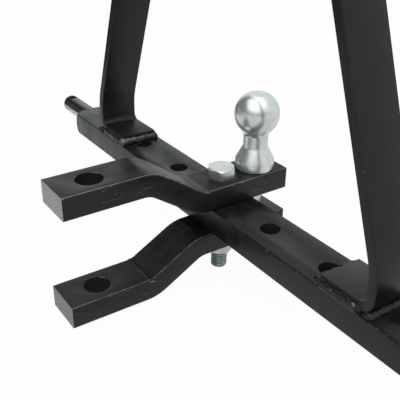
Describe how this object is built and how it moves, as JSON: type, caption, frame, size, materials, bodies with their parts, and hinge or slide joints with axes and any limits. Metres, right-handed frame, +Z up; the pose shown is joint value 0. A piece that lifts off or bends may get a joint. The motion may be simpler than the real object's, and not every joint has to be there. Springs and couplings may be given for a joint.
{
  "type": "three point drawbar",
  "caption": "Crossbar drawbar for a tractor's three point linkage, with a clevis hitch of two joggled arms, a tow ball and an A-frame of strap stays with a top link pin.",
  "frame": {"origin": "on the axis of the drawbar pin through both arms, level with the crossbar's top face, midway between the two link pins", "axes": "+X along the crossbar to the right link pin, +Y forward to the tractor, +Z up; the clevis opens to -Y"},
  "size_m": [0.818, 0.276, 0.7591],
  "materials": {
    "black_paint": "satin",
    "zinc_steel": "satin",
    "spring_steel": "satin"
  },
  "bodies": {
    "frame": {"crossbar": "black_paint", "upper_arm": "black_paint", "lower_arm": "black_paint", "clamp_bolt": "zinc_steel", "clamp_bolt_nut": "zinc_steel", "tow_ball": "zinc_steel", "tow_ball_nut": "zinc_steel", "left_stay": "black_paint", "left_stay_toe_weld": "black_paint", "left_stay_rear_weld": "black_paint", "left_stay_front_weld": "black_paint", "left_stay_heel_weld": "black_paint", "right_stay": "black_paint", "right_stay_toe_weld": "black_paint", "right_stay_rear_weld": "black_paint", "right_stay_front_weld": "black_paint", "right_stay_heel_weld": "black_paint"},
    "top_pin": {"top_link_pin": "zinc_steel", "linch_pin": "zinc_steel"},
    "ring": {"linch_pin_ring": "spring_steel"}
  },
  "joints": [
    {"name": "top_link_pin_turn", "type": "hinge", "parent": "frame", "child": "top_pin", "pos_m": [0, 0.16, 0.64106], "axis": [1, 0, 0], "continuous": true},
    {"name": "linch_ring_flip", "type": "hinge", "parent": "top_pin", "child": "ring", "pos_m": [-0.053, 0.16, 0.65786], "axis": [0, 1, 0], "range_deg": [0, 165]}
  ]
}
